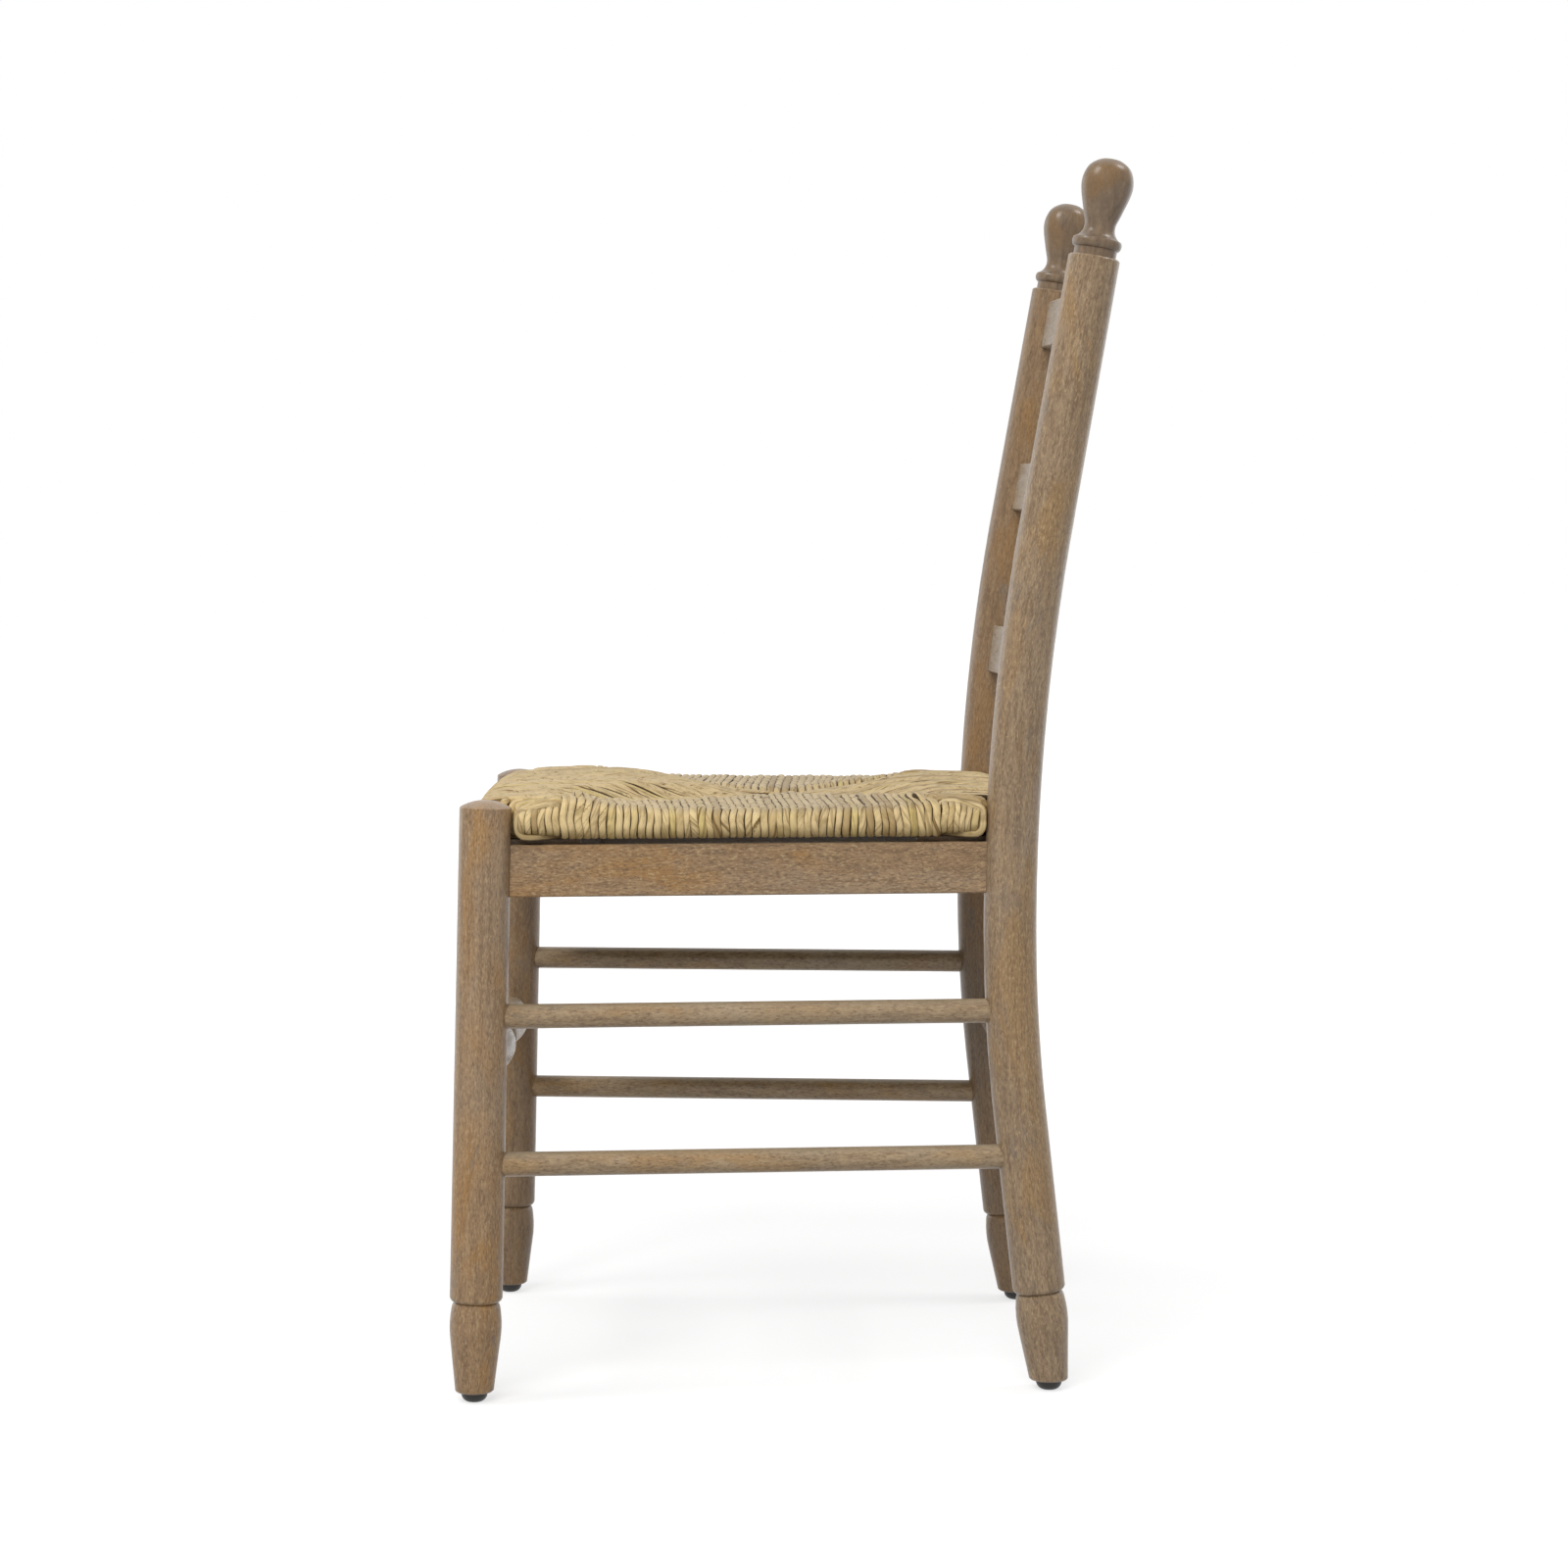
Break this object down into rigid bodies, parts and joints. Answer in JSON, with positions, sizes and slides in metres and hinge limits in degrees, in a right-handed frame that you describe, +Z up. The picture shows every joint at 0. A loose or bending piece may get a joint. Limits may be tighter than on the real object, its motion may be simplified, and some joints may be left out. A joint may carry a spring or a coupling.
{
  "type": "dining chair",
  "caption": "Ladder-back dining chair of turned grey-brown wood with bent back posts, finials, bowed slats, round rungs and a woven rush seat.",
  "frame": {"origin": "floor level, under the middle of the chair's bounding box", "axes": "+Z up, -Y the way the chair faces, +X to the sitter's left"},
  "size_m": [0.48, 0.5432, 0.9857],
  "materials": {
    "turned_wood": "satin grey-brown stain with open grain",
    "slat_wood": "satin grey-brown stain with open grain",
    "frame_board": "bare",
    "rush": "matt twisted rush",
    "stuffing": "matt",
    "steel": "zinc plated",
    "glide": "black, slightly worn"
  },
  "bodies": {
    "root": {"front_leg_left": "turned_wood", "front_leg_right": "turned_wood", "back_post_left": "turned_wood", "back_post_right": "turned_wood", "finial_left": "turned_wood", "finial_right": "turned_wood", "side_apron_left": "turned_wood", "side_apron_right": "turned_wood", "upper_side_rung_left": "turned_wood", "upper_side_rung_right": "turned_wood", "lower_side_rung_left": "turned_wood", "lower_side_rung_right": "turned_wood", "front_rung": "turned_wood", "back_rung": "turned_wood", "front_apron": "turned_wood", "back_apron": "turned_wood", "top_slat": "slat_wood", "middle_slat": "slat_wood", "lower_slat": "slat_wood", "seat_frame_front": "frame_board", "seat_frame_back": "frame_board", "seat_frame_side_left": "frame_board", "seat_frame_side_right": "frame_board", "corner_block_front_left": "frame_board", "corner_block_front_right": "frame_board", "corner_block_back_left": "frame_board", "corner_block_back_right": "frame_board", "rush_seat": "rush", "stuffing_front": "stuffing", "stuffing_back": "stuffing", "stuffing_left": "stuffing", "stuffing_right": "stuffing", "corner_block_screws": "steel", "seat_screws": "steel", "seat_frame_screws": "steel", "glide_nails": "steel", "glide_front_left": "glide", "glide_front_right": "glide", "glide_back_left": "glide", "glide_back_right": "glide"}
  },
  "joints": []
}
